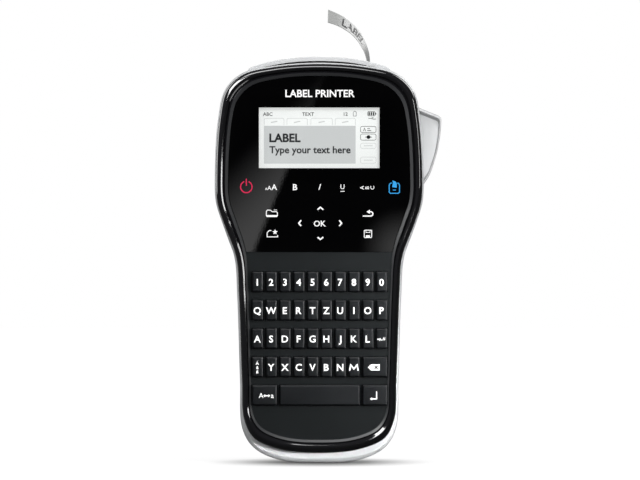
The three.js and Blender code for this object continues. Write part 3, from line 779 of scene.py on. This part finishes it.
def legend(name, x, z):
    """What is printed on a key, or None."""
    drawing = Drawing()
    x, z = x - 0.1, z - 0.25
    if name == "space":
        return None
    if name == "punctuation":
        drawing.plate(circle(x - 1.75, z - 0.1, 0.38, 10))
        drawing.line([(x - 0.75, z - 0.1), (x - 0.9, z - 0.9)], 0.45)
        drawing.plate(circle(x - 0.75, z, 0.38, 10))
        drawing.plate(circle(x + 0.1, z - 0.5, 0.3, 10))
        drawing.word("#", x + 1.25, z + 0.25, 1.6, bold=0.0)
    elif name == "accents":
        for text, rise in (("Á", 2.1), ("ê", -0.1), ("ñ", -2.3)):
            drawing.word(text, x, z + rise, 1.45, bold=0.03)
    elif name == "m":
        rise = LEGEND_HEIGHT / 2
        drawing.line([(x - 2.15, z - rise), (x - 1.6, z + rise - 0.45), (x, z - 0.75),
                      (x + 1.6, z + rise - 0.45), (x + 2.15, z - rise)], 0.66)
    elif name == "backspace":
        x -= 0.4
        drawing.plate([(x - 3, z), (x - 1.4, z + 1.55), (x + 3, z + 1.55),
                       (x + 3, z - 1.55), (x - 1.4, z - 1.55)])
    elif name == "shift":
        x += 1.2
        drawing.word("A", x - 2.75, z + 0.1, 2.4)
        drawing.word("a", x + 2.9, z + 0.1, 2.4, bold=0.006)
        drawing.line([(x - 1, z), (x + 1.2, z)], 0.5)
        drawing.plate([(x - 1.7, z), (x - 0.7, z - 0.75), (x - 0.7, z + 0.75)])
        drawing.plate([(x + 1.9, z), (x + 0.9, z + 0.75), (x + 0.9, z - 0.75)])
    elif name == "enter":
        x -= 0.5
        drawing.line([(x + 1.5, z + 2.2), (x + 1.5, z - 1.6), (x - 0.8, z - 1.6)], 0.5)
        drawing.plate([(x - 1.9, z - 1.6), (x - 0.8, z - 2.35), (x - 0.8, z - 0.85)])
    else:
        drawing.word(name.upper(), x, z, LEGEND_HEIGHT, bold=0.018)
    return drawing


def key_cap(name, x, z, width):
    flange_front, flange_back, lip = FLANGE

    def level(grow, y, corner):
        w, h = width / 2 + grow, KEY_HEIGHT / 2 + grow
        return ring(rounded_rectangle(x - w, x + w, z - h, z + h, corner, 4), y)

    inner = -KEY_TAPER - KEY_BEVEL
    cap = loft(f"cap_{name}", [
        level(inner, KEY_TOP, 0.25),
        level(inner + 0.08, KEY_TOP + 0.02, 0.3),
        level(-KEY_TAPER - 0.08, KEY_TOP + KEY_BEVEL_DEPTH - 0.06, 0.5),
        level(-KEY_TAPER, KEY_TOP + KEY_BEVEL_DEPTH + 0.04, 0.55),
        level(0, flange_front, 0.6),
        level(lip, flange_front, 0.6),
        level(lip, flange_back, 0.6),
    ])
    paint(cap, KEY_BLACK)
    drawing = legend(name, x, z)
    if drawing:
        join(cap, drawing.solid("legend", KEY_TOP - INK, INK * 2, WHITE_INK))
    if name == "backspace":
        cross = Drawing()
        for sign in (-1, 1):
            cross.line([(x - 0.2, z - 0.25 - 0.85 * sign), (x + 1.5, z - 0.25 + 0.85 * sign)], 0.55)
        join(cap, cross.solid("cross", KEY_TOP - INK * 2, INK * 1.5, KEY_BLACK))
    return settle(cap, f"key_{name}", [f"key_{name}"], angle=20)


keys = [key_cap(*place) for place in key_places()]

# ---------------------------------------------------------------- rear shell and doors


def grip_outside():
    start = SEAM + GAP
    return loft("grip", [ring(rim, start), ring(blend(rim, shell, 0.25), start + 0.15), *smooth_rings([
        ring(blend(rim, shell, 0.6), SEAM + 1.2), ring(blend(rim, shell, 0.9), SEAM + 3.5),
        ring(shell, SEAM + 7), ring(blend(shell, back, 0.03), 22), ring(blend(shell, back, 0.13), 27),
        ring(blend(shell, back, 0.36), 31.5), ring(blend(shell, back, 0.68), 35),
        ring(blend(shell, back, 0.93), 36.7),
    ]), ring(back, GRIP_BACK)])


def head_outside():
    return loft("head", [ring(inset(head_wide, 0.35), HEAD_FRONT), *smooth_rings([
        ring(head_wide, HEAD_FRONT + 0.4), ring(head_wide, 34),
        ring(blend(head_wide, head_back, 0.07), 42), ring(blend(head_wide, head_back, 0.25), 49),
        ring(blend(head_wide, head_back, 0.55), 54), ring(blend(head_wide, head_back, 0.9), 57.2),
    ]), ring(head_back, HEAD_BACK_Y)])


def inside():
    grip = loft("grip_inside", smooth_rings([
        ring(inset(rim, WALL), SEAM - 1), ring(inset(blend(rim, shell, 0.6), WALL), SEAM + 3),
        ring(inset(shell, WALL), SEAM + 8), ring(inset(blend(shell, back, 0.13), WALL), 26),
        ring(inset(blend(shell, back, 0.55), WALL), 32.5),
        ring(inset(blend(shell, back, 0.8), WALL), GRIP_BACK - WALL),
    ], 2))
    head = loft("head_inside", smooth_rings([
        ring(inset(head_wide, WALL), HEAD_FRONT - 1), ring(inset(head_wide, WALL), 34),
        ring(inset(blend(head_wide, head_back, 0.25), WALL), 48),
        ring(inset(blend(head_wide, head_back, 0.75), WALL), HEAD_BACK_Y - WALL),
    ], 2))
    return combine(grip, head, how="UNION")


def copy_of(obj, name):
    twin = bpy.data.objects.new(name, obj.data.copy())
    bpy.context.scene.collection.objects.link(twin)
    return twin


def cassette_region(margin):
    half, low = CASSETTE_DOOR["half"] + margin, CASSETTE_DOOR["bottom"] - (DOOR_GAP if margin else 0)
    return block("region", (-half, half), (CASSETTE_DOOR["front"] - margin, 70), (low, 215))


def battery_region(margin):
    half, low = BATTERY_DOOR["half"] + margin, BATTERY_DOOR["bottom"] - (DOOR_GAP if margin else 0)
    corner = BATTERY_DOOR["corner"]
    rounded = rounded_rectangle(-half, half, low, BATTERY_DOOR["top"] + margin, corner, 8)
    upper = rounded[9:27]  # its two upper corners; the lower ones are square, for the hinge
    return prism("region", [(-half, low), (half, low), *upper], (30, 45))


def pegs(door, play):
    y, z = door["hinge"]
    sides = []
    for side in (-1, 1):
        ends = sorted((side * (door["half"] - 1.5), side * (door["half"] + 1.5 + play)))
        sides.append(cross_rod("peg", 0.6 + play, ends, y, z))
    return sides


outside = combine(grip_outside(), head_outside(), how="UNION")
skin = combine(copy_of(outside, "skin"), inside())

rear = copy_of(skin, "rear_shell")
floor_part = combine(copy_of(outside, "floor_part"), block("slab", (-70, 70), FLOOR, (100, FLOOR_TOP)),
                     how="INTERSECT")
lever_depth = (LEVER_DEPTH[0] - GAP, LEVER_DEPTH[1] + GAP)
lever_window = block("lever_window", LEVER_WINDOW[0], lever_depth, LEVER_WINDOW[1])
combine(floor_part, copy_of(lever_window, "floor_window"),
        rod("shaft_hole", PLATEN[2] + 0.4, (29, 35), PLATEN[0], PLATEN[1]))
combine(rear, lever_window, cassette_region(GAP), battery_region(GAP),
        *pegs(CASSETTE_DOOR, 0.25), *pegs(BATTERY_DOOR, 0.25))
combine(rear, floor_part, how="UNION")
px, pz = LEVER_PIVOT
slab = block("slab", (43, 60), (lever_depth[1], LEVER_BRACKET), (pz - 5, pz + 5))
bracket = combine(copy_of(outside, "bracket"), slab, how="INTERSECT")
pad_shape = rounded_rectangle(-PAD["width"] / 2, PAD["width"] / 2, PAD["z"] - PAD["height"] / 2,
                              PAD["z"] + PAD["height"] / 2, 3, 8)
combine(rear, bracket, rod("pin", LEVER_PIN, (LEVER_DEPTH[0], LEVER_BRACKET - 2), px, pz),
        prism("pad", pad_shape, (GRIP_BACK - 1, GRIP_BACK + PAD["rise"])), how="UNION")
screws = []
for x in (-SCREW["x"], SCREW["x"]):
    z = SCREW["z"]
    combine(rear, rod("well", SCREW["well"], (GRIP_BACK - 1.3, GRIP_BACK + 6), x, z, 28))
    screw = round_edges(rod("screw", SCREW["head"], (GRIP_BACK - 2.2, GRIP_BACK - 0.7), x, z, 28), 0.2)
    for half_x, half_z in (SCREW_CROSS, SCREW_CROSS[::-1]):
        combine(screw, block("cross", (x - half_x, x + half_x), (GRIP_BACK - 1.2, GRIP_BACK),
                             (z - half_z, z + half_z)))
    screws.append(paint(screw, STEEL))
rear_shell = settle(paint(rear, SILVER), "case", ["rear_case"], angle=28)
heads = screws[0]
heads.name = "case_screws"
settle(join(heads, *screws[1:]), "case", angle=30)

door = combine(copy_of(skin, "cassette_cover"), cassette_region(0), how="INTERSECT")
slot = block("slot", (TAPE_X - 1, TAPE_X + 1), (10, TAPE_FRONT + TAPE_WIDTH + 1.5), (190, 215))
combine(door, slot)
combine(door, *pegs(CASSETTE_DOOR, 0), how="UNION")
settle(paint(door, LIGHT_GREY), "cassette_door", ["cassette_door"], angle=28)

cover = combine(skin, battery_region(0), how="INTERSECT")
cover.name = "battery_cover"
ridges = [block("ridge", (-9, 9), (GRIP_BACK - 0.5, GRIP_BACK + 0.5), (z, z + 1.2))
          for z in (BATTERY_DOOR["top"] - 6 - i * 3 for i in range(3))]
combine(cover, *ridges, *pegs(BATTERY_DOOR, 0), how="UNION")
settle(paint(cover, SILVER), "battery_door", ["battery_door"], angle=28)
bpy.data.objects.remove(outside)

# ---------------------------------------------------------------- lever and tape


def lever():
    """A curved lever whose front is dished inside a raised edge."""
    outer = [tuple(p) for p in open_curve(
        [(62.05, 173.8), (61.65, 167.8), (60.2, 158.8), (58.4, 152.4), (55.9, 145.5), (52.6, 140.3)], 8)]
    shape = [(px - 2, pz - 1), (45, 145), (46, 155), (46.2, 165), (45.4, 173), (45.4, 178),
             (48.6, 180.6), (50.4, 180.1), (60.7, 175.9), (61.7, 175.2), *outer, (px + 2, pz - 2)]
    edge = np.array(shape[::-1])
    fine = []
    for i in range(len(edge)):
        a, b = edge[i], edge[(i + 1) % len(edge)]
        steps = max(1, int(np.linalg.norm(b - a) / 1.2))
        fine += [a + (b - a) * k / steps for k in range(steps)]
    edge = np.array(fine)
    centre = edge.mean(0)

    def level(share, y):
        return ring(centre + (edge - centre) * share, y)

    front, rear = LEVER_DEPTH
    grip = loft("side_lever", [level(0.84, front + 1.5), level(0.87, front + 1.1), level(0.9, front + 0.35),
                               level(0.93, front), level(0.965, front + 0.05), level(0.99, front + 0.6),
                               level(1, front + 1.4), level(1, rear - 1.4), level(0.985, rear - 0.4),
                               level(0.95, rear)])
    combine(grip, rod("boss", LEVER_EYE, LEVER_DEPTH, px, pz), how="UNION")
    return combine(grip, rod("hole", LEVER_PIN + 0.4, (front - 1, rear + 1), px, pz))


side_lever = paint(lever(), LEVER_SILVER, LEVER_SHADED_SLOPE)
# Faces near the lever's front that turn away from it get the darker silver, as painted shade; the faces
# that look to the front keep the bright one.
for face in side_lever.data.polygons:
    on_rim = face.normal.y > -0.9 and face.center.y < LEVER_DEPTH[0] + 1.45
    face.material_index = 1 if on_rim else 0
settle(side_lever, "cutter_lever", ["cutter_lever"], angle=40)


def tape_station(share):
    """(point, along, across, normal) of the tape's bent part, share running from slot to free end."""
    path = open_curve(TAPE_PATH, 12)
    exact = share * (len(path) - 1)
    i = min(int(exact), len(path) - 2)
    point = path[i] + (path[i + 1] - path[i]) * (exact - i)
    before, after = path[max(i - 1, 0)], path[min(i + 2, len(path) - 1)]
    along = (after - before) / np.linalg.norm(after - before)
    tilt = blend(*TAPE_TILT, share)
    flat = np.array([0, 1, 0]) - along * along[1]
    flat /= np.linalg.norm(flat)
    across = flat * math.cos(tilt) + np.cross(flat, along) * math.sin(tilt)
    return point + np.array([0, TAPE_FRONT + TAPE_WIDTH / 2, 0]), along, across, np.cross(across, along)


def tape():
    stations = [tape_station(i / TAPE_STEPS) for i in range(TAPE_STEPS + 1)]
    point, along, across, normal = stations[0]
    stations.insert(0, (point + np.array([0, 0, TAPE_BOTTOM - point[2]]), along, across, normal))
    rings = []
    for point, _, across, normal in stations:
        corners = [(-1, -1), (-1, 1), (1, 1), (1, -1)]
        rings.append(np.array([point + across * side * TAPE_WIDTH / 2 + normal * face * TAPE_THICKNESS / 2
                               for side, face in corners]))
    return paint(loft("printed_tape", rings), TAPE_WHITE)


def tape_word(text, share, height, reach):
    """Lettering along the tape, from `share` of the bent part down to the slot, `reach` long."""
    flat = Drawing().word(text, 0, 0, height, bold=0.035, align="left")
    length = max(x for x, _ in flat.verts)
    obj = flat.solid("tape_word", 0, 1, TAPE_INK)
    for v in obj.data.vertices:
        point, _, across, normal = tape_station(share - v.co.x / length * reach)
        lift = TAPE_THICKNESS / 2 + TAPE_INK_LIFT[v.co.y > 0.5]
        v.co = Vector(point + across * v.co.z + normal * lift)
    return face_out(obj)


strip = tape()
join(strip, tape_word("LABEL", 0.83, 7.4, 0.43))
settle(strip, "label_tape", ["label_tape"], angle=50)

# ---------------------------------------------------------------- inner pieces

for node, material, edge in (
    ("keypad_mat", SILICONE, 0.5), ("main_board", BOARD, 0.1), ("battery_pack", WRAP, 1.2),
    ("cassette_case", CASSETTE, 0.5), ("tape_roll", TAPE_WHITE, 0.25), ("print_head", CERAMIC, 0.3),
    ("platen_roller", RUBBER, 0.12), ("drive_motor", STEEL, 0.4), ("motor_pinion", BRASS, 0.08),
    ("cutter_blade", STEEL, 0.1),
):
    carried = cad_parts[node]
    carried.data.materials.clear()
    carried.data.materials.append(material)
    step = carried.modifiers.new("round", "BEVEL")
    step.width = edge * MM
    step.segments = 2
    step.limit_method = "ANGLE"
    step.angle_limit = math.radians(40)

# ---------------------------------------------------------------- stage, lights and camera


FLOOR_SIZE = 6.0
FLOOR_ALBEDO = 0.1
FLOOR_GLINT = 0.05  # the dim floor that reflections see, so that the gloss rim stays black
ground = new_object("ground", [(x * FLOOR_SIZE, y * FLOOR_SIZE, ORIGIN_Z)
                               for x, y in ((-1, -1), (1, -1), (1, 1), (-1, 1))], [(0, 1, 2, 3)])
floor_material = surface("studio_floor", (FLOOR_ALBEDO,) * 3, 0.7, tint=0.01, patch=400, specular=0.1)
paint(ground, glow(floor_material, (1, 1, 1), 0))
tree = Tree(floor_material)
rays = tree.add("LightPath")
spot = tree.add("NewGeometry").outputs["Position"]
# the floor glows for the camera only, with a painted shadow round the object: wide and faint, with a dark
# narrow core
place = tree.add("VectorMath", {0: spot, 1: (1.6, 1, 0), 2: (0, 0.02, 0)}, operation="MULTIPLY_ADD")
away = tree.add("VectorMath", {0: place.outputs["Vector"]}, operation="LENGTH").outputs["Value"]
core = tree.remap(away, 0.015, 0.1, 0.08, 1, "SMOOTHSTEP")
painted_shadow = tree.math("MULTIPLY", core, tree.remap(away, 0.07, 0.3, 0.9, 1, "SMOOTHSTEP"))
lit = tree.nodes["Principled BSDF"]
tree.fill(lit, {"Emission Strength": tree.math("MULTIPLY", painted_shadow, rays.outputs["Is Camera Ray"])})
dim = tree.add("Emission", {"Strength": FLOOR_GLINT})
tree.output(tree.either(rays.outputs["Is Glossy Ray"], lit.outputs["BSDF"], dim.outputs["Emission"]))

CAMERA_X = 0.4
CAMERA_Z = 112.7
CAMERA_DISTANCE = 4000
VIEW_WIDTH = 323.2
SENSOR = 36.0


def row(x, y, z):
    return Vector((x * MM, ORIGIN_Y + y * MM, ORIGIN_Z + z * MM))


# A card in front of the object, seen only in reflections: the panel mirrors its grey wedge.
CARD_Y = -900
card = new_object("mirror_card", [row(-75, CARD_Y, 80), row(75, CARD_Y, 80), row(75, CARD_Y, 240),
                                  row(-75, CARD_Y, 240)], [(0, 1, 2, 3)])
material = bpy.data.materials.new("card_light")
tree = Tree(material)
tree.nodes.remove(tree.nodes["Principled BSDF"])
light = tree.add("Emission", {"Color": (1, 1, 1)})
tree.output(light.outputs["Emission"])
place = tree.add("NewGeometry").outputs["Position"]
split = tree.add("SeparateXYZ", {"Vector": place})
across, up = split.outputs["X"], split.outputs["Z"]
SPREAD = 1 + -CARD_Y / CAMERA_DISTANCE  # how much larger the mirrored patch is than its place on the panel


def on_card(x, z):
    """Where the panel point (x, z) is mirrored on the card, in metres."""
    return ((x - CAMERA_X) * SPREAD + CAMERA_X) * MM, ORIGIN_Z + ((z - CAMERA_Z) * SPREAD + CAMERA_Z) * MM


# the wedge of light: bright left of a slanted edge, fading in downwards
upper, lower = on_card(-1.1, 186), on_card(-33.1, 107.5)
slope = (upper[0] - lower[0]) / (upper[1] - lower[1])
edge_x = tree.math("MULTIPLY_ADD", up, slope, lower[0] - lower[1] * slope)
beside = tree.math("SUBTRACT", across, edge_x)
wedge = tree.remap(beside, -0.0004, 0.0004, 1, 0, "SMOOTHSTEP")
start_x, start_z = on_card(-44, 147)
away = tree.math("SUBTRACT", tree.math("SUBTRACT", across, up), start_x - start_z)
fade = tree.remap(away, -0.008 * SPREAD, 0.044 * SPREAD, 0, 1.3, "SMOOTHSTEP")
# the soft patch of light at the panel's lower right corner
corner_x, corner_z = on_card(41.8, 107.7)
dx, dz = tree.math("SUBTRACT", across, corner_x), tree.math("SUBTRACT", up, corner_z)
squares = tree.math("ADD", tree.math("MULTIPLY", dx, dx), tree.math("MULTIPLY", dz, dz))
patch = tree.remap(tree.math("SQRT", squares), 0, 0.0227 * SPREAD, 1.05, 0, "SMOOTHSTEP")
tree.fill(light, {"Strength": tree.math("ADD", tree.math("MULTIPLY", wedge, fade), patch)})
paint(card, material)
card.visible_camera = False
card.visible_diffuse = False
card.visible_transmission = False


CENTRE = (0, 0, 0.09)


def softbox(name, place, size, power, target=CENTRE, only=(), spared=(), gloss=True, roll=0, spread=180):
    """A rectangular light aimed at target, for the only objects named, or for all but the spared ones."""
    data = bpy.data.lights.new(name, "AREA")
    data.shape = "RECTANGLE"
    data.size, data.size_y = size
    data.energy = power
    data.spread = math.radians(spread)
    obj = bpy.data.objects.new(name, data)
    bpy.context.scene.collection.objects.link(obj)
    obj.location = Vector(place)
    obj.rotation_mode = "QUATERNION"
    aim = (Vector(target) - Vector(place)).to_track_quat("-Z", "Y")
    obj.rotation_quaternion = aim @ Quaternion((0, 0, 1), math.radians(roll))
    obj.visible_camera = False
    obj.visible_glossy = gloss
    if only or spared:
        group = bpy.data.collections.new(f"{name}_group")
        obj.light_linking.receiver_collection = group
        for other in only or spared:
            group.objects.link(other)
        for entry in group.collection_objects:
            entry.light_linking.link_state = "INCLUDE" if only else "EXCLUDE"


softbox("key_light", (0.7, -1.1, 1.0), (0.5, 0.5), 15, gloss=False)
softbox("left_box", (-1.15, -0.55, 0.35), (0.4, 1.1), 4.5, spared=[gloss_rim], gloss=False)
softbox("low_front", (0.1, -1.2, 0.06), (0.9, 0.25), 3, target=(0, 0, 0.04), gloss=False)
softbox("shell_light", (0.35, -0.75, 0.03), (0.6, 0.05), 0.55, target=(0.02, 0, -0.05), only=[rear_shell],
        gloss=False, spread=25)
softbox("key_shine", (0.2, -0.15, 0.1), (0.06, 0.3), 1.8, target=(0, 0, 0.06), only=[matte_plate, *keys])
softbox("right_strip", (1.2, -0.25, 0.25), (0.25, 1.0), 3, spared=[gloss_rim])
softbox("top_strip", (-0.1, -0.3, 1.2), (0.9, 0.3), 5)
softbox("rim_flash", (-0.62, -0.75, 0.7), (0.4, 1.2), 32, only=[gloss_rim], roll=57)
softbox("rim_top", (-0.25, -0.5, 1.2), (1.0, 0.35), 10, only=[gloss_rim])
softbox("rim_right", (1.1, -0.4, 0.3), (0.15, 0.4), 3, target=(0, 0, 0.13), only=[gloss_rim])
softbox("back_left", (-0.9, 1.1, 0.5), (0.7, 0.9), 3.5)
softbox("back_right", (0.9, 1.2, 0.9), (0.8, 0.8), 6)

WORLD_SEEN, WORLD_MIRRORED, WORLD_LIGHT = 1.0, 0.06, 0.3
world = bpy.data.worlds.new("studio")
bpy.context.scene.world = world
tree = Tree(world)
rays = tree.add("LightPath").outputs
around = tree.mix(rays["Is Glossy Ray"], WORLD_LIGHT, WORLD_MIRRORED, "FLOAT")
around = tree.mix(rays["Is Camera Ray"], around, WORLD_SEEN, "FLOAT")
tree.fill(tree.nodes["Background"], {"Color": (1, 1, 1), "Strength": around})

camera_data = bpy.data.cameras.new("camera")
camera_data.sensor_width = SENSOR
camera_data.lens = SENSOR * CAMERA_DISTANCE / VIEW_WIDTH
camera_data.clip_start = 0.1
camera_data.clip_end = 50
camera = bpy.data.objects.new("camera", camera_data)
bpy.context.scene.collection.objects.link(camera)
camera.location = row(CAMERA_X, -CAMERA_DISTANCE, CAMERA_Z)
camera.rotation_euler = (math.pi / 2, 0, 0)
bpy.context.scene.camera = camera
bpy.context.scene.view_settings.view_transform = "Standard"
